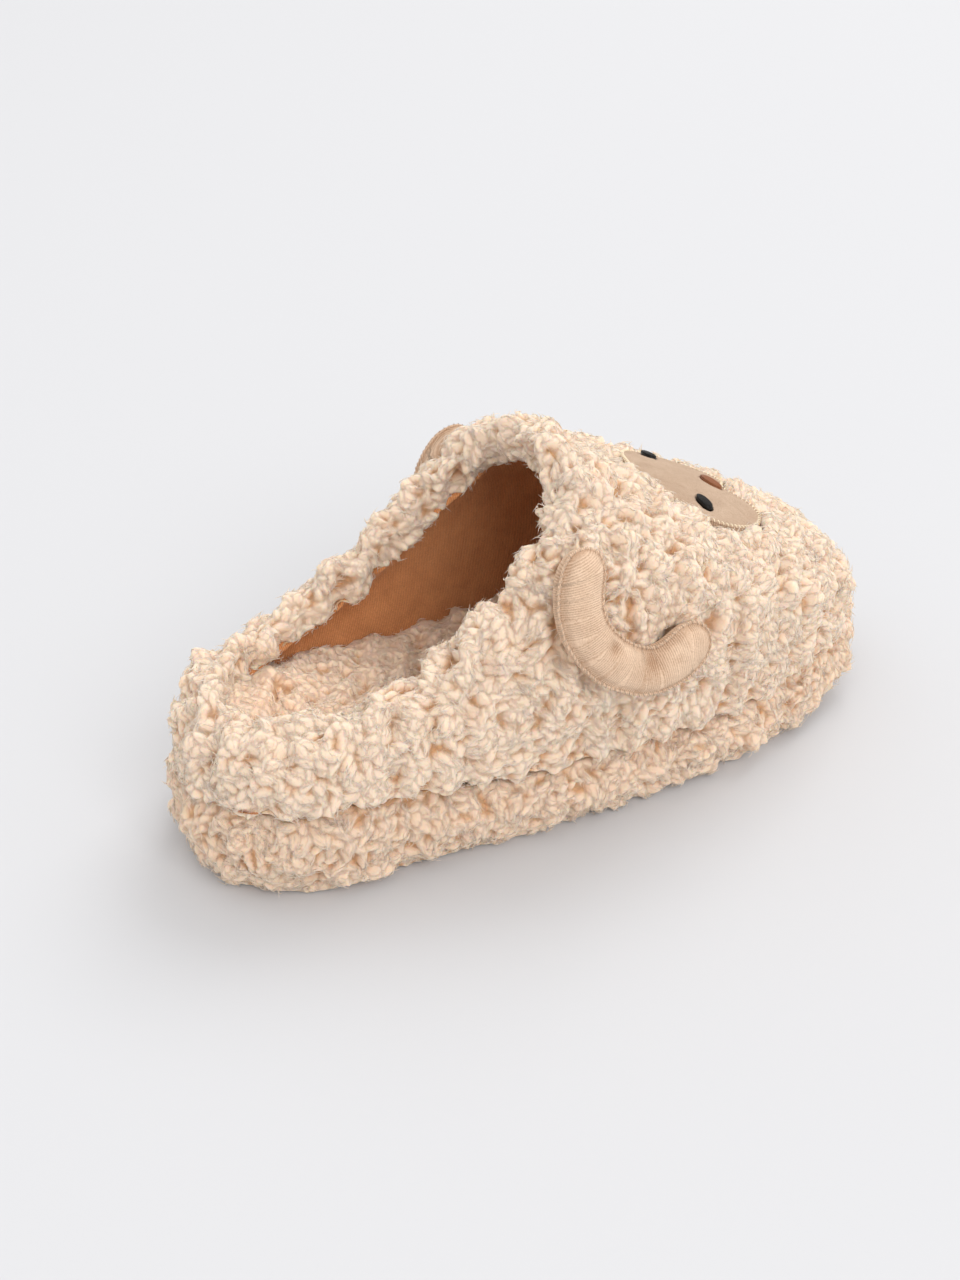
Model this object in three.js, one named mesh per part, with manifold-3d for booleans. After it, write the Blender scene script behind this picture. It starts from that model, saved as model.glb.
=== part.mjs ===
// A plush slipper with a low heel collar, for the right foot: a curly pile upper over a pile covered sole,
// a velour face set into the vamp, and a stuffed horn sewn to each side.
// Millimetres. +X runs from heel to toe, +Y to the inner side of the foot, +Z up.
import * as THREE from "three";
import { mergeVertices } from "three/addons/utils/BufferGeometryUtils.js";
import Module from "manifold-3d";

const wasm = await Module();
wasm.setup();

// Overall sizes, measured over the pile.
const LENGTH = 274;
const BALL_WIDTH = 111;
const THROAT_HEIGHT = 124;
const THROAT_REACH = 142; // heel to the front of the foot opening
const COLLAR_HEIGHT = 60; // at the back of the heel
const COLLAR_WIDTH = 66; // across the opening, ridge to ridge

// The sole.
const SOLE_HEIGHT = 34; // at the heel
const TOE_SPRING = 7;
const OUTSOLE_THICKNESS = 2.5;
const OUTSOLE_INSET = 12;
const OUTSOLE_PROUD = 0.7; // how far the outsole stands below the pile
const INSOLE_THICKNESS = 11;
const INSOLE_EASE = 3.4; // round the insole, inside the upper

// The upper's wall.
const UPPER_INSET = 4.5; // the upper's foot, in from the sole's outline
const WALL = 10; // backing, foam and pile
const RIM_WALL = 18; // where the pile turns over the collar
const RIM_BAND = 0.885 * (COLLAR_HEIGHT - SOLE_HEIGHT); // how far down the turned-over pile reaches
const SADDLE_DEPTH = 3; // the dip between the throat and the face
const SADDLE_SPREAD = 17;

// The pile's curls.
const CURL_SIZE = 13;
const CURL_DEPTH = 4;

// The face, let into the pile on the vamp.
const FACE_LENGTH = 43;
const FACE_WIDTH = 62;
const FACE_CENTRE = 198; // from the heel
const FACE_TURN = -8; // degrees toward the inner side
const FACE_SINK = 1; // below the pile's crowns
const FACE_THICKNESS = 3;
const FACE_PADDING = 1.4; // how much fuller its middle is than its edge
// Places on the face are shares of its length ahead of its centre and of its width to the side.
const EYE = { length: 4.6, width: 8, ahead: -0.098, aside: 0.33 };
const NOSE = { length: 6, width: 11, ahead: 0.233, aside: 0 };
const STITCH_HEIGHT = 0.8;
const STITCH_SEAT = 0.7; // how deep the stitching beds into the face

// The horns.
const HORN_WIDTH = 14.5;
const HORN_THICKNESS = 12;
const HORN_SINK = 3; // how deep a horn beds into the pile
const HORN_INNER_DROP = 0.07; // how much lower the inner horn sits, as a share of the wall

const GAP = 0.3; // between pieces that touch

// Faceting.
const AROUND = 88; // points round an outline, even
const COLUMN_ROWS = 16; // rows of the wall below the rim band
const RIM_STEPS = 5;
const FACE_AROUND = 40; // points round the face
const FACE_STEPS = [1, 0.94, 0.8, 0.55, 0.28]; // rings of the face, as shares of its outline
const OVAL_AROUND = 16; // points round an eye or the nose
const HORN_STEPS = 18; // rings along a horn
const HORN_SIDES = 10;

// The sole's outline: half widths as shares of the ball's width, heights as shares of the height at the heel.
const OUTLINE = [
  { along: 0.0, inner: 0.4, outer: 0.4, height: 1.0 },
  { along: 0.17, inner: 0.4, outer: 0.41, height: 0.98 },
  { along: 0.38, inner: 0.43, outer: 0.475, height: 0.78 },
  { along: 0.66, inner: 0.49, outer: 0.51, height: 0.7 },
  { along: 0.78, inner: 0.48, outer: 0.5, height: 0.71 },
  { along: 1.0, inner: 0.46, outer: 0.48, height: 0.76 },
];
const HEEL_ROUND = { share: 0.17, power: 2.0 };
const TOE_ROUND = { share: 0.36, power: 2.15 };

// The side of the sole, from the floor up: insets from the outline, as shares of the height at the heel.
const SOLE_SIDE = [
  { up: 0.0, inset: 0.25 },
  { up: 0.14, inset: 0.094 },
  { up: 0.36, inset: 0.006 },
  { up: 0.62, inset: 0.0 },
  { up: 0.84, inset: 0.047 },
  { up: 0.96, inset: 0.135 },
  { up: 1.0, inset: 0.235 },
];

// The ridge of the collar, from the heel (turn 0) to the throat (turn 1).
// along: share of the throat's reach. inner, outer: shares of half the collar's width.
// up: share from the heel collar's height to the throat's.
// raise: how much higher the inner side is, as a share of the throat's height.
// roll: how high the turned pile stands over the ridge, as a share of its own thickness.
const COLLAR = [
  { turn: 0.0, along: 0.085, inner: 0.0, outer: 0.0, up: 0.0, raise: 0, roll: 0.5 },
  { turn: 0.12, along: 0.15, inner: 0.7, outer: 0.66, up: 0.0, raise: 0.008, roll: 0.5 },
  { turn: 0.3, along: 0.42, inner: 1.1, outer: 1.0, up: 0.06, raise: 0.024, roll: 0.5 },
  { turn: 0.5, along: 0.7, inner: 1.18, outer: 1.0, up: 0.35, raise: 0.048, roll: 0.5 },
  { turn: 0.7, along: 0.89, inner: 1.02, outer: 0.84, up: 0.71, raise: 0.048, roll: 0.56 },
  { turn: 0.85, along: 0.985, inner: 0.68, outer: 0.56, up: 0.9, raise: 0.024, roll: 0.67 },
  { turn: 1.0, along: 1.03, inner: 0.0, outer: 0.0, up: 1.0, raise: 0, roll: 0.72 },
];

// How each line of the wall leaves the sole (rise, swell) and arrives at the collar (ahead, aside, drop):
// rise and drop are shares of the throat's height, ahead of its reach, swell and aside of the ball's width.
const WALL_SHAPE = [
  { turn: 0.0, rise: 0.073, swell: 0.027, ahead: -0.042, aside: 0, drop: 0.032 },
  { turn: 0.3, rise: 0.105, swell: 0.054, ahead: 0, aside: 0.099, drop: 0.032 },
  { turn: 0.5, rise: 0.177, swell: 0.072, ahead: 0.042, aside: 0.162, drop: 0.04 },
  { turn: 0.7, rise: 0.306, swell: 0.072, ahead: 0.155, aside: 0.288, drop: 0.113 },
  { turn: 0.85, rise: 0.371, swell: 0.054, ahead: 0.225, aside: 0.234, drop: 0.242 },
  { turn: 1.0, rise: 0.379, swell: 0.027, ahead: 0.254, aside: 0, drop: 0.306 },
];

// Half of the face's outline: shares of its length ahead of its centre, and of its half width.
const FACE_OUTLINE = [
  { ahead: -0.5, aside: 0.0 },
  { ahead: -0.46, aside: 0.22 },
  { ahead: -0.41, aside: 0.52 },
  { ahead: -0.31, aside: 0.8 },
  { ahead: -0.14, aside: 0.97 },
  { ahead: 0.04, aside: 1.0 },
  { ahead: 0.24, aside: 0.92 },
  { ahead: 0.41, aside: 0.72 },
  { ahead: 0.49, aside: 0.47 },
  { ahead: 0.47, aside: 0.27 },
  { ahead: 0.39, aside: 0.11 },
  { ahead: 0.35, aside: 0.0 },
];

// A horn's centre line on the wall, with shares of its width and thickness.
const HORN_ROUTE = [
  { turn: 0.672, girth: 0.89, width: 0.86, thickness: 0.86 },
  { turn: 0.614, girth: 0.86, width: 0.95, thickness: 0.95 },
  { turn: 0.568, girth: 0.772, width: 1.0, thickness: 1.0 },
  { turn: 0.546, girth: 0.64, width: 1.0, thickness: 1.0 },
  { turn: 0.548, girth: 0.512, width: 0.98, thickness: 1.0 },
  { turn: 0.566, girth: 0.44, width: 0.98, thickness: 1.0 },
  { turn: 0.6, girth: 0.452, width: 1.0, thickness: 0.95 },
  { turn: 0.635, girth: 0.495, width: 0.94, thickness: 0.88 },
];

const clamp = (value, low, high) => Math.min(high, Math.max(low, value));
const mix = (a, b, share) => a + (b - a) * share;

function smoothStep(low, high, value) {
  const share = clamp((value - low) / (high - low), 0, 1);
  return share * share * (3 - 2 * share);
}

// A smooth function through one column of a table, which doesn't swing past its rows.
// It ends level, or goes on straight where the column crosses from one side of the foot to the other.
function column(table, key, name, ends = "level") {
  const at = table.map((row) => row[key]);
  const value = table.map((row) => row[name]);
  const last = at.length - 1;
  const slope = at.map((_, i) => {
    if (i === 0 || i === last) {
      const near = i === 0 ? 1 : last - 1;
      return ends === "level" ? 0 : (value[near] - value[i]) / (at[near] - at[i]);
    }
    const before = (value[i] - value[i - 1]) / (at[i] - at[i - 1]);
    const after = (value[i + 1] - value[i]) / (at[i + 1] - at[i]);
    return before * after <= 0 ? 0 : (2 * before * after) / (before + after);
  });
  return (where) => {
    const x = clamp(where, at[0], at.at(-1));
    const i = Math.max(0, at.findLastIndex((a, k) => a <= x && k < at.length - 1));
    const span = at[i + 1] - at[i];
    const s = (x - at[i]) / span;
    const start = value[i] * (1 + 2 * s) * (1 - s) ** 2 + slope[i] * span * s * (1 - s) ** 2;
    return start + value[i + 1] * s * s * (3 - 2 * s) + slope[i + 1] * span * s * s * (s - 1);
  };
}

const soleWidth = {
  inner: column(OUTLINE, "along", "inner"),
  outer: column(OUTLINE, "along", "outer"),
};
const soleShare = column(OUTLINE, "along", "height");

const soleTop = (x) => SOLE_HEIGHT * soleShare(x / LENGTH);
const toeLift = (x) => TOE_SPRING * clamp((x / LENGTH - 0.74) / 0.26, 0, 1) ** 2;

// How far round the end of the sole has closed in, from 0 at the tip to 1 past the round.
function endRound(distance, { share, power }) {
  const left = clamp(1 - distance / (share * LENGTH), 0, 1);
  return (1 - left ** power) ** (1 / power);
}

// The outline at turn 0 (heel) to 1 (toe) on one side of the foot: side is 1 inner, -1 outer.
function outlinePoint(turn, side) {
  const x = (LENGTH * (1 - Math.cos(Math.PI * turn))) / 2;
  const width = (side > 0 ? soleWidth.inner : soleWidth.outer)(x / LENGTH) * BALL_WIDTH;
  return new THREE.Vector2(x, side * width * endRound(x, HEEL_ROUND) * endRound(LENGTH - x, TOE_ROUND));
}

// The direction out of the outline there.
function outlineOutward(turn, side) {
  if (turn < 1e-6) return new THREE.Vector3(-1, 0, 0);
  if (turn > 1 - 1e-6) return new THREE.Vector3(1, 0, 0);
  const ahead = outlinePoint(Math.min(turn + 0.01, 1), side);
  const along = ahead.sub(outlinePoint(Math.max(turn - 0.01, 0), side));
  return new THREE.Vector3(-side * along.y, side * along.x, 0).normalize();
}

// Every ring of points starts at the heel and runs forward on the outer side, then back on the inner one.
const HALF = AROUND / 2;
const ringPlaces = Array.from({ length: AROUND }, (_, j) => ({
  turn: j <= HALF ? j / HALF : (AROUND - j) / HALF,
  side: j <= HALF ? -1 : 1,
}));
const OUTLINE_POINTS = ringPlaces.map(({ turn, side }) => outlinePoint(turn, side));
const OUTWARD = ringPlaces.map(({ turn, side }) => outlineOutward(turn, side));

// The outline moved in by inset, at the height that heightAt gives for each x.
function ringAt(inset, heightAt) {
  return OUTLINE_POINTS.map((point, j) => {
    const p = new THREE.Vector3(point.x, point.y, 0).addScaledVector(OUTWARD[j], -inset);
    p.z = heightAt(p.x);
    return p;
  });
}

// Curls crowd round the points of a jittered lattice: 0 on a curl's crown, up to 1 between curls.
function betweenCurls(point, size = CURL_SIZE) {
  const cell = point.clone().divideScalar(size);
  let nearest = 1;
  for (let i = -1; i <= 1; i++)
    for (let j = -1; j <= 1; j++)
      for (let k = -1; k <= 1; k++) {
        const corner = new THREE.Vector3(i, j, k).add(cell.clone().floor());
        const crown = corner.clone().add(scatter(corner));
        nearest = Math.min(nearest, crown.distanceTo(cell));
      }
  return smoothStep(0.15, 0.85, nearest);
}

function scatter({ x, y, z }) {
  const part = (a, b, c) => {
    const s = Math.sin(x * a + y * b + z * c) * 43758.5453;
    return s - Math.floor(s);
  };
  return new THREE.Vector3(part(12.99, 78.23, 37.72), part(39.35, 11.13, 83.16), part(73.16, 52.24, 9.15));
}

// The outward normal at each point of a grid of rings.
function gridNormals(rings) {
  return rings.map((ring, i) =>
    ring.map((_, j) => {
      const up = rings[Math.min(i + 1, rings.length - 1)][j].clone().sub(rings[Math.max(i - 1, 0)][j]);
      const along = ring[(j + 1) % ring.length].clone().sub(ring[(j + ring.length - 1) % ring.length]);
      return along.cross(up).normalize();
    }),
  );
}

// Presses the valleys between curls into a grid of rings. depthAt gives the depth for a row and a point.
function curled(rings, depthAt) {
  const normals = gridNormals(rings);
  return rings.map((ring, i) =>
    ring.map((p, j) => p.clone().addScaledVector(normals[i][j], -depthAt(i, p) * betweenCurls(p))),
  );
}

function geometryOf(points, faces) {
  const geometry = new THREE.BufferGeometry();
  const numbers = points.flatMap((p) => [p.x, p.y, p.z]);
  geometry.setAttribute("position", new THREE.Float32BufferAttribute(numbers, 3));
  geometry.setIndex(faces.flat());
  const merged = mergeVertices(geometry, 1e-3);
  const index = merged.index.array;
  const kept = [];
  for (let i = 0; i < index.length; i += 3) {
    const [a, b, c] = index.slice(i, i + 3);
    if (a !== b && b !== c && c !== a) kept.push(a, b, c);
  }
  merged.setIndex(kept);
  return merged;
}

// A solid from rings that climb its outside. looped joins the last ring to the first;
// otherwise the first and last are closed by strips from side to side, or at a point where they end in one.
function ringSolid(rings, { looped = false } = {}) {
  const n = rings[0].length;
  const faces = [];
  const quad = (a, b, c, d) => faces.push([a, b, c], [a, c, d]);
  for (let i = 0; i < rings.length - (looped ? 0 : 1); i++) {
    const next = (i + 1) % rings.length;
    for (let j = 0; j < n; j++) {
      const k = (j + 1) % n;
      quad(i * n + j, i * n + k, next * n + k, next * n + j);
    }
  }
  if (!looped) {
    const last = (rings.length - 1) * n;
    for (let j = 0; j < n / 2; j++) {
      const [right, ahead, left, behind] = [j, j + 1, (n - j - 1) % n, (n - j) % n];
      quad(behind, left, ahead, right);
      quad(last + right, last + ahead, last + left, last + behind);
    }
  }
  return geometryOf(rings.flat(), faces);
}

// A slab over the outline moved in by inset, between two height functions, with lines of points on its top.
function slabSolid(inset, bottomAt, topAt, lines) {
  const edge = ringAt(inset, bottomAt);
  const leftOf = (j) => (AROUND - j) % AROUND;
  const top = Array.from({ length: HALF + 1 }, (_, j) =>
    Array.from({ length: lines + 1 }, (_, k) => {
      const p = edge[j].clone().lerp(edge[leftOf(j)], k / lines);
      p.z = topAt(p.x, Math.abs((2 * k) / lines - 1), p);
      return p;
    }),
  );
  const width = lines + 1;
  const faces = [];
  const quad = (a, b, c, d) => faces.push([a, b, c], [a, c, d]);
  for (let j = 0; j < HALF; j++) {
    const [here, next] = [AROUND + j * width, AROUND + (j + 1) * width];
    quad(j, leftOf(j), leftOf(j + 1), j + 1);
    quad(j, j + 1, next, here);
    quad(leftOf(j + 1), leftOf(j), here + lines, next + lines);
    for (let k = 0; k < lines; k++) quad(here + k, next + k, next + k + 1, here + k + 1);
  }
  return geometryOf([...edge, ...top.flat()], faces);
}

function manifoldOf(geometry) {
  return new wasm.Manifold(
    new wasm.Mesh({
      numProp: 3,
      vertProperties: new Float32Array(geometry.attributes.position.array),
      triVerts: new Uint32Array(geometry.index.array),
    }),
  );
}

function geometryFrom(solid) {
  const { vertProperties, triVerts } = solid.getMesh();
  const geometry = new THREE.BufferGeometry();
  geometry.setAttribute("position", new THREE.Float32BufferAttribute(vertProperties, 3));
  geometry.setIndex([...triVerts]);
  return geometry;
}

// The flat outsole, with the toe's spring.
function outsole() {
  return slabSolid(OUTSOLE_INSET, toeLift, (x) => toeLift(x) + OUTSOLE_THICKNESS, 1);
}

// The foam platform in its pile cover, hollowed underneath for the outsole.
function soleWrap() {
  const bed = (x) => toeLift(x) + OUTSOLE_THICKNESS + GAP;
  const foot = (x) => toeLift(x) + OUTSOLE_PROUD;
  const side = SOLE_SIDE.map(({ up, inset }) =>
    ringAt(inset * SOLE_HEIGHT, (x) => mix(foot(x), soleTop(x), up)),
  );
  const isEdge = (i) => i === 0 || i === side.length - 1;
  return ringSolid([
    ringAt(OUTSOLE_INSET - GAP, bed),
    ringAt(OUTSOLE_INSET - GAP, foot),
    ...curled(side, (i) => (isEdge(i) ? 0 : CURL_DEPTH)),
  ]);
}

// The pile insole, which fills the upper's foot from wall to wall.
function insole() {
  const bed = (x) => soleTop(x) + GAP;
  const pile = (x, aside, p) =>
    bed(x) + INSOLE_THICKNESS * (1 - 0.45 * aside ** 6) - 0.5 * CURL_DEPTH * betweenCurls(p);
  return slabSolid(UPPER_INSET + WALL + INSOLE_EASE, bed, pile, 8);
}

const collarAlong = column(COLLAR, "turn", "along");
const collarAcross = {
  inner: column(COLLAR, "turn", "inner", "straight"),
  outer: column(COLLAR, "turn", "outer", "straight"),
};
const collarUp = column(COLLAR, "turn", "up");
const collarRaise = column(COLLAR, "turn", "raise");
const collarRoll = column(COLLAR, "turn", "roll");
const wallShape = Object.fromEntries(
  ["rise", "swell", "ahead", "aside", "drop"].map((name) => [
    name,
    column(WALL_SHAPE, "turn", name, name === "aside" ? "straight" : "level"),
  ]),
);

// One line of the upper's outer face, from the sole to the collar's ridge, as a curve.
function wallLine({ turn, side }) {
  const point = outlinePoint(turn, side);
  const outward = outlineOutward(turn, side);
  const foot = new THREE.Vector3(point.x, point.y, 0).addScaledVector(outward, -UPPER_INSET);
  foot.z = soleTop(foot.x) + GAP;
  const ridge = new THREE.Vector3(
    collarAlong(turn) * THROAT_REACH,
    (side * collarAcross[side > 0 ? "inner" : "outer"](turn) * COLLAR_WIDTH) / 2,
    mix(COLLAR_HEIGHT, THROAT_HEIGHT, collarUp(turn)) + (side > 0 ? collarRaise(turn) * THROAT_HEIGHT : 0),
  );
  const lower = foot.clone().addScaledVector(outward, wallShape.swell(turn) * BALL_WIDTH);
  lower.z += wallShape.rise(turn) * THROAT_HEIGHT;
  const upper = ridge.clone();
  upper.x += wallShape.ahead(turn) * THROAT_REACH;
  upper.y += side * wallShape.aside(turn) * BALL_WIDTH;
  upper.z -= wallShape.drop(turn) * THROAT_HEIGHT;
  return new THREE.CubicBezierCurve3(foot, lower, upper, ridge);
}

const WALL_LINES = ringPlaces.map(wallLine);

// The dip between the throat and the face.
function saddle(point) {
  const off = new THREE.Vector2(point.x - THROAT_REACH * 1.22, point.y * 0.5).length() / SADDLE_SPREAD;
  return SADDLE_DEPTH * Math.exp(-off * off) * smoothStep(SOLE_HEIGHT, SOLE_HEIGHT * 2, point.z);
}

// The pile's outer face, without its curls. girth runs from the sole (0) to the collar's ridge (1).
function pileAt({ turn, girth, side }) {
  const p = wallLine({ turn, side }).getPointAt(girth);
  p.z -= saddle(p);
  return p;
}

function pileNormal({ turn, girth, side }) {
  const up = pileAt({ turn, girth: girth + 0.01, side }).sub(pileAt({ turn, girth: girth - 0.01, side }));
  const along = pileAt({ turn: turn + 0.01, girth, side }).sub(pileAt({ turn: turn - 0.01, girth, side }));
  return along.cross(up).multiplyScalar(-side).normalize();
}

// The same face as rows from the sole up to the collar's ridge.
const RIM_ROWS = [0.72, 0.4, 0.12];
const OUTER_ROWS = [
  ...Array.from({ length: COLUMN_ROWS + 1 }, (_, i) => (length) => ((length - RIM_BAND) * i) / COLUMN_ROWS),
  ...RIM_ROWS.map((share) => (length) => length - RIM_BAND * share),
];
const OUTER_FACE = (() => {
  const lengths = WALL_LINES.map((line) => line.getLength());
  return OUTER_ROWS.map((distance) =>
    WALL_LINES.map((line, j) => {
      const p = line.getPointAt(distance(lengths[j]) / lengths[j]);
      p.z -= saddle(p);
      return p;
    }),
  );
})();
const OUTER_NORMALS = gridNormals(OUTER_FACE);

// The wall's thickness on a row of the outer face.
function wallAt(row) {
  const below = row <= COLUMN_ROWS ? 1 : RIM_ROWS[row - COLUMN_ROWS - 1];
  return mix(RIM_WALL, WALL, below);
}

// The shell: up the pile's outer face, over the collar, and down inside, where half the rows are enough.
function upperShell() {
  const inner = OUTER_FACE.map((ring, i) =>
    ring.map((p, j) => {
      const q = p.clone().addScaledVector(OUTER_NORMALS[i][j], -wallAt(i));
      if (i === 0) q.z = soleTop(q.x) + GAP;
      return q;
    }),
  );
  const lining = inner.filter((_, i) => i > COLUMN_ROWS || i % 2 === 0);
  const top = OUTER_FACE.length - 1;
  const rim = Array.from({ length: RIM_STEPS }, (_, k) => {
    const angle = (Math.PI * (k + 1)) / (RIM_STEPS + 1);
    return OUTER_FACE[top].map((p, j) => {
      const middle = p.clone().add(inner[top][j]).multiplyScalar(0.5);
      const over = p.clone().sub(OUTER_FACE[top - 1][j]).normalize();
      return middle
        .clone()
        .add(p.clone().sub(middle).multiplyScalar(Math.cos(angle)))
        .addScaledVector(over, collarRoll(ringPlaces[j].turn) * RIM_WALL * Math.sin(angle));
    });
  });
  const aboveSole = (p) => smoothStep(0, 0.7 * CURL_SIZE, p.z - soleTop(p.x) - GAP);
  const outside = curled([...OUTER_FACE, ...rim], (i, p) => CURL_DEPTH * aboveSole(p));
  return ringSolid([...outside, ...lining.reverse()], { looped: true });
}

// The height of the pile's outer face over x, y on the vamp.
const bothSides = new THREE.MeshBasicMaterial({ side: THREE.DoubleSide });
const pileMesh = new THREE.Mesh(ringSolid(OUTER_FACE), bothSides);
const down = new THREE.Vector3(0, 0, -1);
function vampHeight(x, y) {
  const caster = new THREE.Raycaster(new THREE.Vector3(x, y, THROAT_HEIGHT * 2), down);
  return caster.intersectObject(pileMesh)[0].point.z;
}

// A cushion over an outline on the vamp, between two height functions of x, y and the share of the way out.
function cushionSolid(outline, centre, shares, bottomAt, topAt) {
  const n = outline.length;
  const layer = (heightAt) => [
    ...shares.flatMap((share) =>
      outline.map((edge) => {
        const p = centre.clone().lerp(edge, share);
        return new THREE.Vector3(p.x, p.y, heightAt(p.x, p.y, share));
      }),
    ),
    new THREE.Vector3(centre.x, centre.y, heightAt(centre.x, centre.y, 0)),
  ];
  const top = layer(topAt);
  const bottom = layer(bottomAt);
  const faces = [];
  const quad = (a, b, c, d) => faces.push([a, b, c], [a, c, d]);
  for (let j = 0; j < n; j++) {
    const k = (j + 1) % n;
    const under = top.length;
    quad(under + j, under + k, k, j);
    for (let i = 0; i < shares.length - 1; i++) {
      const [out, further] = [i * n, (i + 1) * n];
      quad(out + j, out + k, further + k, further + j);
      quad(under + out + k, under + out + j, under + further + j, under + further + k);
    }
    const last = (shares.length - 1) * n;
    faces.push([last + j, last + k, under - 1]);
    faces.push([under + last + k, under + last + j, 2 * under - 1]);
  }
  return geometryOf([...top, ...bottom], faces);
}

// A place on the vamp from the face's own directions: ahead along the face, aside toward the inner side.
const faceCentre = new THREE.Vector2(FACE_CENTRE, 0);
function onFace(ahead, aside) {
  const turn = (FACE_TURN * Math.PI) / 180;
  return new THREE.Vector2(ahead, aside).rotateAround(new THREE.Vector2(), turn).add(faceCentre);
}

// The face's outline, anticlockwise from above, grown by grow.
function faceOutline(grow) {
  const half = FACE_OUTLINE.map(({ ahead, aside }) => ({
    ahead: ahead * FACE_LENGTH,
    aside: (aside * FACE_WIDTH) / 2,
  }));
  const outer = half.map(({ ahead, aside }) => new THREE.Vector3(ahead, -aside, 0));
  const inner = half.slice(1, -1).map(({ ahead, aside }) => new THREE.Vector3(ahead, aside, 0));
  const curve = new THREE.CatmullRomCurve3([...outer, ...inner.reverse()], true);
  return Array.from({ length: FACE_AROUND }, (_, k) => {
    const p = curve.getPoint(k / FACE_AROUND);
    const along = curve.getTangent(k / FACE_AROUND);
    return onFace(p.x + along.y * grow, p.y - along.x * grow);
  });
}

const faceTop = (x, y, share) => vampHeight(x, y) - FACE_SINK - FACE_PADDING * share ** 4;
const faceBottom = (x, y) => vampHeight(x, y) - FACE_SINK - FACE_PADDING - FACE_THICKNESS;
const face = (grow, bottomAt, topAt) =>
  cushionSolid(faceOutline(grow), faceCentre, FACE_STEPS, bottomAt, topAt);

// An oval of satin stitching on the face; its height is counted from the face's full middle.
function stitchedOval({ length, width, ahead, aside }, grow, depth, height) {
  const middle = new THREE.Vector2(ahead * FACE_LENGTH, aside * FACE_WIDTH);
  const outline = Array.from({ length: OVAL_AROUND }, (_, k) => {
    const angle = (2 * Math.PI * k) / OVAL_AROUND;
    return onFace(
      middle.x + (length / 2 + grow) * Math.cos(angle),
      middle.y + (width / 2 + grow) * Math.sin(angle),
    );
  });
  const level = (x, y) => vampHeight(x, y) - FACE_SINK;
  return cushionSolid(
    outline,
    onFace(middle.x, middle.y),
    [1, 0.7],
    (x, y) => level(x, y) - depth,
    (x, y, share) => level(x, y) + height * (1 - 0.6 * share ** 3),
  );
}

const OVALS = {
  eye_outer: { ...EYE, aside: -EYE.aside },
  eye_inner: EYE,
  nose: NOSE,
};

function facePanel() {
  const seats = Object.values(OVALS).map((oval) =>
    manifoldOf(stitchedOval(oval, GAP, FACE_PADDING + STITCH_SEAT + GAP, FACE_THICKNESS)),
  );
  return geometryFrom(manifoldOf(face(0, faceBottom, faceTop)).subtract(wasm.Manifold.union(seats)));
}

// A stuffed horn on the wall, grown by grow.
function horn(side, grow) {
  const drop = side > 0 ? HORN_INNER_DROP : 0;
  const places = HORN_ROUTE.map(({ turn, girth }) => ({ turn, girth: girth - drop, side }));
  const lift = HORN_THICKNESS / 2 - HORN_SINK;
  const route = new THREE.CatmullRomCurve3(
    places.map((place) => pileAt(place).addScaledVector(pileNormal(place), lift)),
  );
  const last = HORN_ROUTE.length - 1;
  const cap = HORN_WIDTH / 2 / route.getLength();
  const rings = Array.from({ length: HORN_STEPS + 1 }, (_, k) => {
    // Rings crowd toward the rounded ends.
    const along = (1 - Math.cos((Math.PI * k) / HORN_STEPS)) / 2;
    const t = route.getUtoTmapping(along);
    const i = Math.min(Math.floor(t * last), last - 1);
    const s = t * last - i;
    const out = pileNormal(places[i]).lerp(pileNormal(places[i + 1]), s).normalize();
    const ahead = route.getTangent(t);
    const across = ahead.clone().cross(out).normalize();
    const up = across.clone().cross(ahead);
    const end = clamp(Math.min(along, 1 - along) / cap, 0, 1);
    const full = Math.sqrt(1 - (1 - end) ** 2);
    const size = (name, whole) => (mix(HORN_ROUTE[i][name], HORN_ROUTE[i + 1][name], s) * whole * full) / 2;
    const middle = route.getPoint(t).addScaledVector(ahead, k === 0 ? -grow : k === HORN_STEPS ? grow : 0);
    return Array.from({ length: HORN_SIDES }, (_, m) => {
      const angle = (2 * Math.PI * m) / HORN_SIDES;
      const wide = full === 0 ? 0 : size("width", HORN_WIDTH) + grow;
      const thick = full === 0 ? 0 : size("thickness", HORN_THICKNESS) + grow;
      return middle
        .clone()
        .addScaledVector(across, wide * Math.cos(angle))
        .addScaledVector(up, -thick * Math.sin(angle));
    });
  });
  return ringSolid(rings);
}

// The whole upper: the shell with seats for the face and the horns.
function upper() {
  const seats = [
    face(GAP, (x, y) => faceBottom(x, y) - GAP, (x, y) => vampHeight(x, y) + CURL_DEPTH),
    horn(-1, GAP),
    horn(1, GAP),
  ].map(manifoldOf);
  const cut = manifoldOf(upperShell()).subtract(wasm.Manifold.union(seats));
  // Crumbs of pile that a seat cuts off are dropped.
  const [largest] = cut.decompose().sort((a, b) => b.volume() - a.volume());
  return geometryFrom(largest);
}

function piece(name, geometry, colour, roughness) {
  const material = new THREE.MeshStandardMaterial({ color: colour, roughness, metalness: 0 });
  const mesh = new THREE.Mesh(geometry, material);
  mesh.name = name;
  return mesh;
}

const slipper = new THREE.Group();
slipper.add(
  piece("outsole", outsole(), "#c9a98a", 0.9),
  piece("sole_wrap", soleWrap(), "#e6cfb4", 0.95),
  piece("insole", insole(), "#e0c5a8", 0.95),
  piece("upper", upper(), "#ead5bb", 0.95),
  piece("face_panel", facePanel(), "#d3a67c", 0.85),
  piece("horn_outer", horn(-1, 0), "#cfa077", 0.85),
  piece("horn_inner", horn(1, 0), "#cfa077", 0.85),
);
const THREAD = { eye_outer: "#1b1715", eye_inner: "#1b1715", nose: "#8a5b3c" };
for (const [name, oval] of Object.entries(OVALS)) {
  const stitches = stitchedOval(oval, 0, FACE_PADDING + STITCH_SEAT, STITCH_HEIGHT);
  slipper.add(piece(name, stitches, THREAD[name], 0.6));
}

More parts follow.
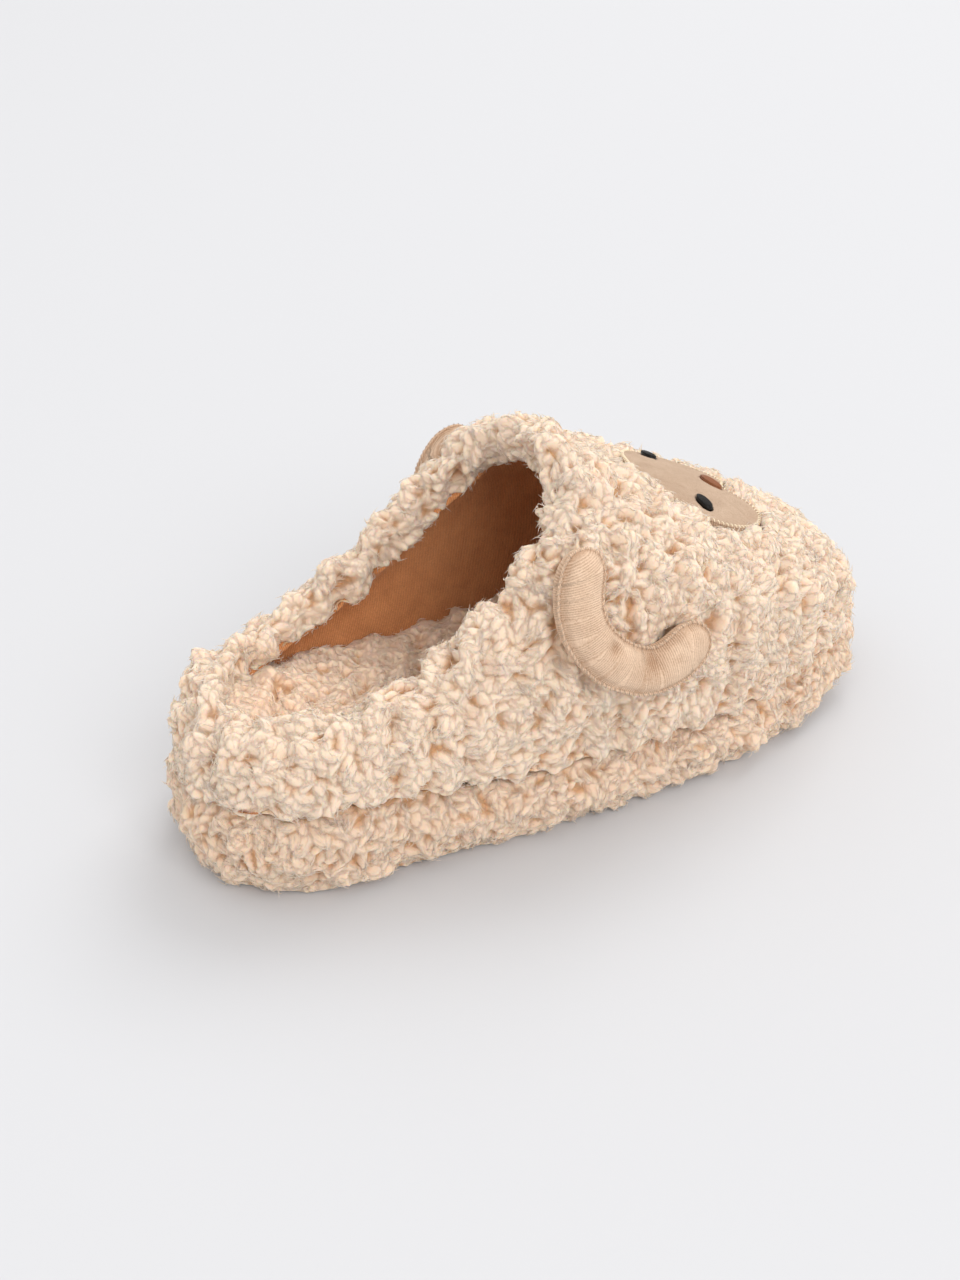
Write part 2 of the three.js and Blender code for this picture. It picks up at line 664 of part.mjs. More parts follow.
// The floor is at z 0 and the slipper's box is centred over the origin.
const box = new THREE.Box3().setFromObject(slipper);
const centre = box.getCenter(new THREE.Vector3());
for (const mesh of slipper.children) mesh.geometry.translate(-centre.x, -centre.y, -box.min.z);

export default slipper;
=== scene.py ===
"""A plush slipper for the right foot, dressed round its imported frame.

Curly pile covers the upper, the sole band and the footbed. The lining, the face and the stuffed
horns are velour. The file is laid out as an add-on: one operator for each piece or group of like
pieces, and one for the stage.
"""

import heapq
import math

import bmesh
import bpy
import numpy as np
from bpy.props import FloatProperty, FloatVectorProperty, IntProperty, PointerProperty
from mathutils import Matrix, Vector
from mathutils.bvhtree import BVHTree
from mathutils.kdtree import KDTree


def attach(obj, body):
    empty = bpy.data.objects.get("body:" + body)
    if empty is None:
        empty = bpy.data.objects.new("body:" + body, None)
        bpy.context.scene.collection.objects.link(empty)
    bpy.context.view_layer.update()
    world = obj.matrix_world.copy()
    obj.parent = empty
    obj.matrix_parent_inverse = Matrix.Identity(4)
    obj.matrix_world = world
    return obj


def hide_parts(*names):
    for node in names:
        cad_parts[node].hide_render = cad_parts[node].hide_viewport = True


bl_info = {
    "name": "Plush slipper",
    "version": (1, 0, 0),
    "blender": (4, 5, 0),
    "location": "3D View > Sidebar > Slipper",
    "description": "Dresses the slipper's frame in curly pile, velour and stitching",
    "category": "Add Mesh",
}

MM = 0.001

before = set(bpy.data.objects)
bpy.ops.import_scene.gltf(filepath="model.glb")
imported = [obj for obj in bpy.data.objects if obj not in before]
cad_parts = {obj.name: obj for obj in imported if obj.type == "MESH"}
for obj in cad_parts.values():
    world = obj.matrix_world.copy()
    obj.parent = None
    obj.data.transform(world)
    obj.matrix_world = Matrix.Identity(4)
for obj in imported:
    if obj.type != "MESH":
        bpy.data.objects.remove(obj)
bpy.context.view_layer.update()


def linear(code):
    """An sRGB hex colour as linear red, green and blue."""
    channels = [int(code[i : i + 2], 16) / 255 for i in (1, 3, 5)]
    return tuple(c / 12.92 if c <= 0.04045 else ((c + 0.055) / 1.055) ** 2.4 for c in channels)


def length(name, description, millimetres):
    """A property for a length, stored in metres."""
    return FloatProperty(
        name=name,
        description=description,
        default=millimetres * MM,
        min=0,
        unit="LENGTH",
        subtype="DISTANCE",
        precision=5,
    )


def colour(name, description, code):
    """A property for a colour."""
    return FloatVectorProperty(
        name=name, description=description, default=linear(code), size=3, min=0, max=1, subtype="COLOR"
    )


class PileSizes(bpy.types.PropertyGroup):
    """The locks of the pile."""

    spacing: length("Lock spacing", "Least distance between the middles of two locks", 2.7)
    lock_length: length("Lock length", "Length of a lock", 6.4)
    lock_width: length("Lock width", "Width of a lock", 3.1)
    lock_height: length("Lock height", "How far a lock's crown stands over the cloth", 2.0)
    clump_width: length("Clump width", "Distance between clumps of locks", 11.0)
    clump_height: length("Clump height", "How far a clump rises over the pile's mean", 1.7)
    wisp_spacing: length("Wisp spacing", "About how far apart the fine wisps on the locks are", 2.7)
    wisp_length: length("Wisp length", "Length of a wisp", 4.2)
    wisp_radius: length("Wisp radius", "Half the thickness of a wisp", 0.16)
    net: length("Net", "Width of the faces that the pile is shaped from", 0.8)
    fold_depth: length("Fold depth", "How far the pile reaches down inside the collar", 15.5)
    seed: IntProperty(name="Seed", description="Start of the random draws", default=7, min=0)


class VelourSizes(bpy.types.PropertyGroup):
    """The velour of the horns, the face and the lining, and its stitching."""

    nap: length("Nap", "Width of one tuft of the velour's nap", 0.45)
    rib: length("Rib", "Distance between the knitted rows under the nap", 0.7)
    seam_radius: length("Seam radius", "Half the width of a horn's edge seam", 0.6)
    seam_depth: length("Seam groove", "How deep the cloth is drawn in beside a horn's seam", 0.55)
    dimple_depth: length("Dimple depth", "How deep the tacking stitches pull a horn in", 2.6)
    stitch_length: length("Stitch length", "Length of one stitch over the face's edge", 2.0)
    stitch_spacing: length("Stitch spacing", "Distance between stitches on the face and horns", 1.7)
    thread_width: length("Thread width", "Width of one satin stitch", 0.55)


class SlipperColours(bpy.types.PropertyGroup):
    """The slipper's colours."""

    pile_tip: colour("Pile tips", "Cream of the locks' crowns", "#EBD5BF")
    # The pile's deeper tan, laid between the locks and in shaded spots as painted shade
    pile_root_and_shade: colour("Pile roots", "Warm tan between the locks", "#CE9867")
    sole_tip: colour("Sole band tips", "Crowns of the sole band's locks", "#E8CEB6")
    velour: colour("Velour", "Pale camel of the horns and the face", "#DCC1A8")
    lining: colour("Lining", "Deeper camel of the lining", "#D29261")
    eye: colour("Eyes", "Nearly black eye thread", "#171310")
    nose: colour("Nose", "Brown nose thread", "#8A5636")
    edge_thread: colour("Edge thread", "Cream thread round the face", "#F2E2C4")
    outsole: colour("Outsole", "Tan of the outsole", "#B98F68")
    floor: colour("Floor", "Pale grey of the floor", "#CCCDD0")


# Meshes


def new_piece(name, points, faces, material, slot=None, replaces=(), values=None):
    """A smooth mesh piece from arrays of points and of faces with the same number of corners."""
    points = np.ascontiguousarray(points, dtype=np.float32)
    faces = np.ascontiguousarray(faces, dtype=np.int32)
    corners = faces.shape[1]
    mesh = bpy.data.meshes.new(name)
    mesh.vertices.add(len(points))
    mesh.vertices.foreach_set("co", points.ravel())
    mesh.loops.add(faces.size)
    mesh.loops.foreach_set("vertex_index", faces.ravel())
    mesh.polygons.add(len(faces))
    mesh.polygons.foreach_set("loop_start", np.arange(len(faces), dtype=np.int32) * corners)
    for key, numbers in (values or {}).items():
        kind, field = ("FLOAT_VECTOR", "vector") if numbers.ndim > 1 else ("FLOAT", "value")
        layer = mesh.attributes.new(key, kind, "POINT")
        layer.data.foreach_set(field, numbers.astype(np.float32).ravel())
    mesh.update(calc_edges=True)
    mesh.validate()
    mesh.shade_smooth()
    mesh.materials.append(material)
    return place(bpy.data.objects.new(name, mesh), replaces)


def place(piece, replaces=()):
    """Links a piece to the scene and ties it to the frame."""
    bpy.context.scene.collection.objects.link(piece)
    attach(piece, "root")
    if replaces:
        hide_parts(*replaces)
    return piece


def welded(node):
    """A CAD node's points and triangles, with doubled points joined."""
    form = bmesh.new()
    form.from_mesh(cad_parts[node].data)
    bmesh.ops.remove_doubles(form, verts=form.verts, dist=0.005 * MM)
    bmesh.ops.triangulate(form, faces=form.faces)
    points = np.array([v.co for v in form.verts])
    triangles = np.array([[v.index for v in f.verts] for f in form.faces])
    form.free()
    return points, triangles


def reshaped(points, triangles, modifiers):
    """The form after Blender's modifiers, as points and four-cornered faces. modifiers maps kinds to
    settings."""
    mesh = bpy.data.meshes.new("reshaping")
    mesh.from_pydata(points.tolist(), [], triangles.tolist())
    carrier = bpy.data.objects.new("reshaping", mesh)
    bpy.context.scene.collection.objects.link(carrier)
    for kind, settings in modifiers.items():
        modifier = carrier.modifiers.new(kind, kind)
        for name, value in settings.items():
            setattr(modifier, name, value)
    graph = bpy.context.evaluated_depsgraph_get()
    result = bpy.data.meshes.new_from_object(carrier.evaluated_get(graph))
    made = np.zeros(len(result.vertices) * 3)
    result.vertices.foreach_get("co", made)
    corners = np.zeros(len(result.loops), dtype=np.int32)
    result.loops.foreach_get("vertex_index", corners)
    bpy.data.objects.remove(carrier)
    bpy.data.meshes.remove(mesh)
    bpy.data.meshes.remove(result)
    return made.reshape(-1, 3), corners.reshape(-1, 4)


def smoothed(points, triangles, levels):
    """The form with its facets rounded off."""
    return reshaped(points, triangles, {"SUBSURF": {"levels": levels, "render_levels": levels}})


def netted(points, triangles, net):
    """The closed form as an even net of small faces, with its facets smoothed off."""
    return reshaped(
        points,
        triangles,
        {"REMESH": {"mode": "VOXEL", "voxel_size": net}, "SMOOTH": {"factor": 0.5, "iterations": 12}},
    )


def unit(vectors):
    """Each vector at length 1."""
    return vectors / np.maximum(np.linalg.norm(vectors, axis=-1, keepdims=True), 1e-12)


def triangle_crosses(points, triangles):
    """The cross product of each triangle's sides: its normal, twice its area long."""
    a, b, c = (points[triangles[:, k]] for k in range(3))
    return np.cross(b - a, c - a)


def point_normals(points, faces):
    """The outward normal at each point."""
    if faces.shape[1] == 3:
        crosses = triangle_crosses(points, faces)
    else:
        # The cross product of a four-cornered face's diagonals
        crosses = np.cross(
            points[faces[:, 2]] - points[faces[:, 0]],
            points[faces[:, 3]] - points[faces[:, 1]],
        )
    normals = np.zeros_like(points)
    for k in range(faces.shape[1]):
        np.add.at(normals, faces[:, k], crosses)
    return unit(normals)


def kept_part(points, faces, keep):
    """The faces that keep marks, with only the points that they use."""
    faces = faces[keep]
    used, renumbered = np.unique(faces, return_inverse=True)
    return points[used], renumbered.reshape(faces.shape)


def smooth_step(share):
    """From 0 to 1, easing at both ends."""
    share = np.clip(share, 0, 1)
    return share * share * (3 - 2 * share)


def point_tree(points):
    """A search tree over points."""
    tree = KDTree(len(points))
    for i, point in enumerate(points):
        tree.insert(point, i)
    tree.balance()
    return tree


def face_tree(points, faces):
    """A search tree over a form's faces."""
    return BVHTree.FromPolygons(points.tolist(), faces.tolist())


def lumps(points, width, seed):
    """Soft lumps of the given width over the points, from -1 to 1."""
    rng = np.random.default_rng(seed)
    total = np.zeros(len(points))
    for _ in range(6):
        direction = unit(rng.normal(size=3))
        total += np.sin(points @ direction * (2 * math.pi / width) + rng.uniform(0, 2 * math.pi))
    return total / 3


def tube(path, radius, sides=6, closed=False):
    """Points and faces of a round tube along a path; radius is a number or one for each point."""
    path = np.asarray(path, dtype=float)
    count = len(path)
    radius = np.broadcast_to(radius, count)
    if closed:
        ahead = unit(np.roll(path, -1, 0) - np.roll(path, 1, 0))
    else:
        ahead = unit(np.gradient(path, axis=0))
    side = unit(np.cross(ahead, [0.13, 0.21, 0.97]))
    over = np.cross(side, ahead)
    angles = np.arange(sides) * 2 * math.pi / sides
    ring = np.cos(angles)[None, :, None] * side[:, None] + np.sin(angles)[None, :, None] * over[:, None]
    points = (path[:, None] + ring * radius[:, None, None]).reshape(-1, 3)
    here = np.arange(count if closed else count - 1)[:, None] * sides
    there = (here + sides) % (count * sides)
    step, after = np.arange(sides), (np.arange(sides) + 1) % sides
    faces = np.stack([here + step, there + step, there + after, here + after], -1).reshape(-1, 4)
    return points, faces


def distance_over(points, faces, starts):
    """How far each point is from the nearest start, walking along the form's edges."""
    ways = [{} for _ in points]
    for face in faces.tolist():
        for a, b in zip(face, face[1:] + face[:1]):
            ways[a][b] = ways[b][a] = float(np.linalg.norm(points[a] - points[b]))
    reach = np.full(len(points), 1.0)
    reach[starts] = 0
    queue = [(0.0, int(i)) for i in starts]
    while queue:
        far, i = heapq.heappop(queue)
        if far > reach[i]:
            continue
        for j, step in ways[i].items():
            if far + step < reach[j]:
                reach[j] = far + step
                heapq.heappush(queue, (far + step, j))
    return reach


def middle_line(points, faces, count):
    """The line through the middle of a long form, from one end to the other."""
    first = int(np.argmax(distance_over(points, faces, [0])))
    reach = distance_over(points, faces, [first])
    share = reach / reach.max()
    stops = (np.arange(count) + 0.5) / count
    line = [points[first]]
    line += [points[np.abs(share - stop) < 0.6 / count].mean(0) for stop in stops[1:-1]]
    line.append(points[int(np.argmax(reach))])
    line = np.array(line)
    for _ in range(2):
        line[1:-1] = (line[:-2] + 2 * line[1:-1] + line[2:]) / 4
    return line


def along_line(points, line):
    """How far along a line each point's nearest place on it is."""
    starts, steps = line[:-1], np.diff(line, axis=0)
    lengths = np.linalg.norm(steps, axis=1)
    before = np.concatenate([[0], np.cumsum(lengths)[:-1]])
    best, along = np.full(len(points), np.inf), np.zeros(len(points))
    for start, step, size, so_far in zip(starts, steps, lengths, before):
        share = np.clip((points - start) @ step / size**2, 0, 1)
        off = np.linalg.norm(points - start - share[:, None] * step, axis=1)
        near = off < best
        best[near], along[near] = off[near], so_far + share[near] * size
    return along


def contour(points, faces, values):
    """The longest closed line over a form where the values cross zero."""
    crossings, links = {}, {}
    for face in faces.tolist():
        found = []
        for a, b in zip(face, face[1:] + face[:1]):
            if (values[a] < 0) != (values[b] < 0):
                key = (min(a, b), max(a, b))
                share = values[a] / (values[a] - values[b])
                crossings[key] = points[a] + share * (points[b] - points[a])
                found.append(key)
        if len(found) == 2:
            links.setdefault(found[0], []).append(found[1])
            links.setdefault(found[1], []).append(found[0])
    loops, seen = [], set()
    for start in links:
        if start in seen:
            continue
        loop, here = [], start
        while here is not None:
            seen.add(here)
            loop.append(crossings[here])
            here = next((k for k in links[here] if k not in seen), None)
        loops.append(np.array(loop))
    return max(loops, key=lambda loop: np.linalg.norm(np.diff(loop, axis=0), axis=1).sum())


def respaced(loop, spacing, passes=6):
    """A closed loop smoothed and with its points evenly spaced."""
    for _ in range(passes):
        loop = (np.roll(loop, 1, 0) + 2 * loop + np.roll(loop, -1, 0)) / 4
    closed = np.vstack([loop, loop[:1]])
    run = np.concatenate([[0], np.cumsum(np.linalg.norm(np.diff(closed, axis=0), axis=1))])
    stops = np.arange(int(run[-1] / spacing)) * run[-1] / int(run[-1] / spacing)
    return np.stack([np.interp(stops, run, closed[:, k]) for k in range(3)], 1)


def joined(forms):
    """Several forms of points and faces as one."""
    points, faces, start = [], [], 0
    for form_points, form_faces in forms:
        points.append(form_points)
        faces.append(np.asarray(form_faces) + start)
        start += len(form_points)
    return np.concatenate(points), np.concatenate(faces)


# Materials


def add_node(material, kind, values=None, links=None, **settings):
    """A node of a material, with its settings, its inputs' values and its links from other nodes."""
    made = material.node_tree.nodes.new(kind)
    for name, value in settings.items():
        setattr(made, name, value)
    for name, value in (values or {}).items():
        made.inputs[name].default_value = value
    for name, output in (links or {}).items():
        material.node_tree.links.new(output, made.inputs[name])
    return made


def blank_material(name):
    """A material with no nodes yet."""
    material = bpy.data.materials.new(name)
    material.use_nodes = True
    material.node_tree.nodes.clear()
    return material


def finish_material(material, shader):
    """Joins a shader to the material's output."""
    add_node(material, "ShaderNodeOutputMaterial", links={"Surface": shader.outputs["BSDF"]})
    return material


def with_alpha(rgb):
    """A colour for a shader's socket."""
    return (*rgb, 1.0)


def curly_pile(name, tip, root):
    """Curly acrylic pile, spun soft and tumbled into locks: matt, painted pale on the crowns as painted
    light and warm and deep between them as painted shade, streaked along each lock by its fibres,
    with a soft glow at grazing angles."""
    fibre = 0.75 * MM  # drawn coarser than the real fibres, which are too fine to show
    patch = 16 * MM  # how far apart paler and warmer patches of the pile lie
    material = blank_material(name)
    in_space = add_node(material, "ShaderNodeTexCoord").outputs["Object"]
    on_strand = add_node(
        material, "ShaderNodeAttribute", attribute_name="strand_place"
    ).outputs["Vector"]
    # The pile's tone: pale on the crowns and clumps as painted light, and deep in the valleys, by the
    # horns, in creases and on faces turned from above as painted shade
    height = add_node(material, "ShaderNodeAttribute", attribute_name="painted_pile_shade").outputs["Fac"]
    streaks = add_node(
        material,
        "ShaderNodeTexNoise",
        {"Scale": 1 / fibre, "Detail": 2.0, "Roughness": 0.6},
        {"Vector": on_strand},
    ).outputs["Fac"]
    fluff = add_node(
        material,
        "ShaderNodeTexNoise",
        {"Scale": 1 / (1.6 * fibre), "Detail": 3.0, "Roughness": 0.7, "Distortion": 1.0},
        {"Vector": in_space},
    ).outputs["Fac"]
    patches = add_node(
        material, "ShaderNodeTexNoise", {"Scale": 1 / patch, "Detail": 2.0}, {"Vector": in_space}
    ).outputs["Fac"]
    fibres = add_node(
        material, "ShaderNodeMath", {1: 0.6}, {0: fluff, 2: streaks}, operation="MULTIPLY_ADD"
    ).outputs[0]
    toned = add_node(
        material, "ShaderNodeMath", {1: 0.5}, {0: fibres, 2: height}, operation="MULTIPLY_ADD"
    ).outputs[0]
    mottled = add_node(
        material, "ShaderNodeMath", {1: 0.35}, {0: patches, 2: toned}, operation="MULTIPLY_ADD"
    )
    ramp = add_node(
        material,
        "ShaderNodeMapRange",
        {"From Min": 0.3, "From Max": 1.3},
        {"Value": mottled.outputs[0]},
        interpolation_type="SMOOTHSTEP",
    ).outputs["Result"]
    blend = add_node(
        material,
        "ShaderNodeMix",
        {6: with_alpha(root), 7: with_alpha(tip)},
        {"Factor": ramp},
        data_type="RGBA",
    )
    relief = add_node(
        material, "ShaderNodeBump", {"Strength": 0.75, "Distance": 0.5 * MM}, {"Height": fibres}
    ).outputs["Normal"]
    shader = add_node(
        material,
        "ShaderNodeBsdfPrincipled",
        {
            "Roughness": 0.9,
            "Specular IOR Level": 0.12,
            "Subsurface Weight": 0.5,
            "Subsurface Radius": (1.0, 0.55, 0.3),
            "Subsurface Scale": 2.5 * MM,
            "Sheen Weight": 0.45,
            "Sheen Roughness": 0.5,
            "Sheen Tint": with_alpha(linear("#FFF3E0")),
        },
        {"Base Color": blend.outputs[2], "Normal": relief},
    )
    return finish_material(material, shader)


def short_velour(name, rgb, sizes, sheen=0.6):
    """Short polyester velour, knitted and sheared: matt camel face-on, with fine rows from the
    knitting, darkened with painted shade in the horns' dimples and seam grooves, and pale with sheen at
    grazing angles."""
    # The rows and the nap's tufts are drawn coarser than the real ones, which are too fine to show.
    brushed = 9 * MM  # how far apart the strokes of a hand over the nap lie
    band_gap = 0.314  # how far apart the wave texture's bands are at scale 1
    material = blank_material(name)
    in_space = add_node(material, "ShaderNodeTexCoord").outputs["Object"]
    across_rows = add_node(
        material, "ShaderNodeAttribute", attribute_name="knit_rows"
    ).outputs["Vector"]
    rows = add_node(
        material,
        "ShaderNodeTexWave",
        {"Scale": band_gap / sizes.rib, "Distortion": 1.2, "Detail": 2.0, "Detail Scale": 0.5},
        {"Vector": across_rows},
        wave_type="BANDS",
        bands_direction="X",
    ).outputs["Fac"]
    strokes = add_node(
        material,
        "ShaderNodeTexNoise",
        {"Scale": 1 / brushed, "Detail": 3.0, "Distortion": 0.8},
        {"Vector": in_space},
    ).outputs["Fac"]
    tufts = add_node(
        material,
        "ShaderNodeTexNoise",
        {"Scale": 1 / sizes.nap, "Detail": 2.0, "Roughness": 0.6},
        {"Vector": in_space},
    ).outputs["Fac"]
    # Painted shade, laid in the horns' dimples and beside their seams
    groove_and_painted_shade = add_node(
        material, "ShaderNodeAttribute", attribute_name="painted_velour_shade"
    ).outputs["Fac"]
    surface = add_node(
        material, "ShaderNodeMath", {1: 0.45}, {0: rows, 2: tufts}, operation="MULTIPLY_ADD"
    ).outputs[0]
    toned = add_node(
        material, "ShaderNodeMath", {1: 0.8}, {0: strokes, 2: surface}, operation="MULTIPLY_ADD"
    ).outputs[0]
    # The painted shade darkens the nap's tone.
    darkened = add_node(
        material, "ShaderNodeMath", {1: -0.65}, {0: groove_and_painted_shade, 2: toned}, operation="MULTIPLY_ADD"
    ).outputs[0]
    tone = add_node(
        material, "ShaderNodeMapRange", {"From Min": 0.45, "From Max": 1.6}, {"Value": darkened}
    ).outputs["Result"]
    deep = [c * k for c, k in zip(rgb, (0.6, 0.48, 0.4))]
    pale = [min(1, c * 1.25) for c in rgb]
    blend = add_node(
        material,
        "ShaderNodeMix",
        {6: with_alpha(deep), 7: with_alpha(pale)},
        {"Factor": tone},
        data_type="RGBA",
    )
    relief = add_node(
        material, "ShaderNodeBump", {"Strength": 0.9, "Distance": 0.4 * MM}, {"Height": surface}
    ).outputs["Normal"]
    shader = add_node(
        material,
        "ShaderNodeBsdfPrincipled",
        {
            "Roughness": 0.85,
            "Specular IOR Level": 0.15,
            "Sheen Weight": sheen,
            "Sheen Roughness": 0.4,
            "Sheen Tint": with_alpha(linear("#FFE9CF")),
        },
        {"Base Color": blend.outputs[2], "Normal": relief},
    )
    return finish_material(material, shader)


def rayon_thread(name, rgb):
    """Embroidery rayon, twisted and laid flat: a soft gloss along each stitch."""
    twist = 0.3 * MM  # drawn coarser than the real plies
    material = blank_material(name)
    in_space = add_node(material, "ShaderNodeTexCoord").outputs["Object"]
    plies = add_node(
        material, "ShaderNodeTexNoise", {"Scale": 1 / twist, "Detail": 1.0}, {"Vector": in_space}
    ).outputs["Fac"]
    relief = add_node(
        material, "ShaderNodeBump", {"Strength": 0.4, "Distance": 0.1 * MM}, {"Height": plies}
    ).outputs["Normal"]
    shader = add_node(
        material,
        "ShaderNodeBsdfPrincipled",
        {"Base Color": with_alpha(rgb), "Roughness": 0.38, "Specular IOR Level": 0.22},
        {"Normal": relief},
    )
    return finish_material(material, shader)


def moulded_rubber(name, rgb):
    """Thermoplastic rubber, moulded with a fine grain: dull, with a faint broad shine."""
    grain = 0.8 * MM
    material = blank_material(name)
    in_space = add_node(material, "ShaderNodeTexCoord").outputs["Object"]
    grains = add_node(
        material, "ShaderNodeTexNoise", {"Scale": 1 / grain, "Detail": 2.0}, {"Vector": in_space}
    ).outputs["Fac"]
    relief = add_node(
        material, "ShaderNodeBump", {"Strength": 0.35, "Distance": 0.15 * MM}, {"Height": grains}
    ).outputs["Normal"]
    shader = add_node(
        material,
        "ShaderNodeBsdfPrincipled",
        {"Base Color": with_alpha(rgb), "Roughness": 0.6},
        {"Normal": relief},
    )
    return finish_material(material, shader)


# The pile

FLOW_WIDTH = 26 * MM  # how far apart the lie of the pile changes
LOCKS_TRIED = 9  # how many near locks may cover one place
VALLEY_DEPTH = 0.8 * MM  # how deep the valleys between the locks go
BEDDING = 1.2 * MM  # how far the locks are bedded into the cloth
ABOVE_FLOOR = 0.25 * MM  # how low the pile may hang
WISP_STEPS = 3
WISP_SIDES = 3
WISP_TAPER = np.array([0.6, 1, 0.9, 0.15])  # a wisp's thickness from its root to its tip


def scattered(points, triangles, spacing, rng):
    """Places spread over the triangles at least spacing apart, and their normals."""
    crosses = triangle_crosses(points, triangles)
    areas = np.linalg.norm(crosses, axis=1) / 2
    count = int(areas.sum() / spacing**2 * 5)
    chosen = rng.choice(len(triangles), count, p=areas / areas.sum())
    u, v = rng.random(count), rng.random(count)
    over = u + v > 1
    u[over], v[over] = 1 - u[over], 1 - v[over]
    a, b, c = (triangles[chosen, k] for k in range(3))
    weights = np.stack([1 - u - v, u, v], 1)[..., None]
    spots = (np.stack([points[a], points[b], points[c]], 1) * weights).sum(1)
    normals = point_normals(points, triangles)
    facing = unit((np.stack([normals[a], normals[b], normals[c]], 1) * weights).sum(1))
    kept, cells = [], {}
    for i, cell in enumerate(map(tuple, np.floor(spots / spacing).astype(int).tolist())):
        near = (
            other
            for dx in (-1, 0, 1)
            for dy in (-1, 0, 1)
            for dz in (-1, 0, 1)
            for other in cells.get((cell[0] + dx, cell[1] + dy, cell[2] + dz), ())
        )
        spot = spots[i]
        if all(
            (spot[0] - o[0]) ** 2 + (spot[1] - o[1]) ** 2 + (spot[2] - o[2]) ** 2 >= spacing**2
            for o in near
        ):
            cells.setdefault(cell, []).append(tuple(spot))
            kept.append(i)
    return spots[kept], facing[kept]


def stamped(spots, facing, sizes, seed, points, scale=1.0):
    """How far the pile stands over the cloth at each point, the way that its lock leans there, and
    the place on the lock. The locks are bent beans that lie on the cloth and crowd each other."""
    rng = np.random.default_rng(sizes.seed + seed)
    count = len(spots)
    up = unit(facing + rng.normal(scale=0.1, size=(count, 3)))
    flow = np.stack([lumps(spots, FLOW_WIDTH, seed * 3 + k) for k in range(3)], 1)
    flow = flow + rng.normal(scale=0.6, size=(count, 3)) + [0, 0, -0.3]
    ahead = unit(flow - (flow * up).sum(1)[:, None] * up)
    across = np.cross(up, ahead)
    long = sizes.lock_length / 2 * scale * rng.uniform(0.75, 1.25, count)
    wide = sizes.lock_width / 2 * scale * rng.uniform(0.8, 1.25, count)
    high = sizes.lock_height * scale * rng.uniform(0.6, 1.2, count)
    bend = rng.uniform(-0.28, 0.28, count) / (3 * MM)
    tree = point_tree(spots)
    near = np.array([[i for _, i, _ in tree.find_n(point, LOCKS_TRIED)] for point in points])
    wobble = np.stack([lumps(points, 3.4 * MM, seed + 20 + k) for k in range(3)], 1) * 0.35 * MM
    off = (points + wobble)[:, None] - spots[near]
    u = (off * ahead[near]).sum(2)
    v = (off * across[near]).sum(2) - bend[near] * u**2
    # A lock is blunt at its root and narrows to its tip.
    taper = 1 - 0.35 * np.clip(u / long[near], -1, 1)
    inside = 1 - (u / long[near]) ** 2 - (v / (wide[near] * taper)) ** 2
    height = high[near] * np.sign(inside) * np.abs(inside) ** 0.6
    best = height.argmax(1)
    rows = np.arange(len(points))
    chosen = near[rows, best]
    top = height[rows, best]
    # Stretched along the lock, and moved on from lock to lock, for the fibres' streaks
    on_lock = np.stack([u[rows, best] * 0.15, v[rows, best], chosen * 0.013], 1)
    return np.clip(top, -VALLEY_DEPTH, None), ahead[chosen], on_lock


def evened(values, faces):
    """Each point's value, softened with its neighbours' on the net."""
    total, count = np.zeros(len(values)), np.zeros(len(values))
    middle = values[faces].mean(1)
    for k in range(faces.shape[1]):
        np.add.at(total, faces[:, k], middle)
        np.add.at(count, faces[:, k], 1)
    return total / np.maximum(count, 1)


def grow_wisps(name, points, facing, ahead, parts, material, slot, sizes, seed):
    """Fine wisps of fibre that lie along the locks and lift off at their tips, cut into parts as the
    pile under them is."""
    rng = np.random.default_rng(sizes.seed + seed)
    count = len(points)
    share = np.linspace(0, 1, WISP_STEPS + 1)
    up = unit(facing + rng.normal(scale=0.25, size=(count, 3)))
    ahead = ahead + rng.normal(scale=0.3, size=(count, 3))
    ahead = unit(ahead - (ahead * up).sum(1)[:, None] * up)
    across = np.cross(up, ahead)
    run = (sizes.wisp_length * rng.uniform(0.6, 1.3, count))[:, None]
    sway = (MM * rng.normal(scale=0.7, size=count))[:, None]
    rise = (MM * rng.uniform(0.1, 0.7, count))[:, None]
    path = (
        points[:, None]
        + ahead[:, None] * (run * (share - 0.4))[..., None]
        + across[:, None] * (sway * np.sin(share * 5 + rng.uniform(0, 6, (count, 1))))[..., None]
        + up[:, None] * (rise * np.sin(math.pi * share * 0.8) - 0.35 * MM * (1 - share))[..., None]
    )
    angles = np.arange(WISP_SIDES) * 2 * math.pi / WISP_SIDES
    ring = (
        np.cos(angles)[None, :, None] * across[:, None] + np.sin(angles)[None, :, None] * up[:, None]
    )
    thick = sizes.wisp_radius * WISP_TAPER * rng.uniform(0.7, 1.2, (count, 1))
    strands = path[:, :, None] + ring[:, None] * thick[:, :, None, None]
    strands[..., 2] = np.maximum(strands[..., 2], ABOVE_FLOOR)
    _, wisp_faces = tube(share[:, None] * [1, 1, 1], 1.0, WISP_SIDES)
    each = (WISP_STEPS + 1) * WISP_SIDES
    for part, test in parts.items():
        chosen = strands[test(points)].reshape(-1, 3)
        starts = np.arange(len(chosen) // each)[:, None, None] * each
        faces = (wisp_faces[None] + starts).reshape(-1, 4)
        # The wisps take a pale tone, the painted light of the crowns.
        values = {"painted_pile_shade": np.full(len(chosen), 0.95), "strand_place": chosen * 0.3}
        new_piece(name + "_wisps" + part, chosen, faces, material, slot, values=values)


def whole(points):
    """Every point."""
    return np.full(len(points), True)


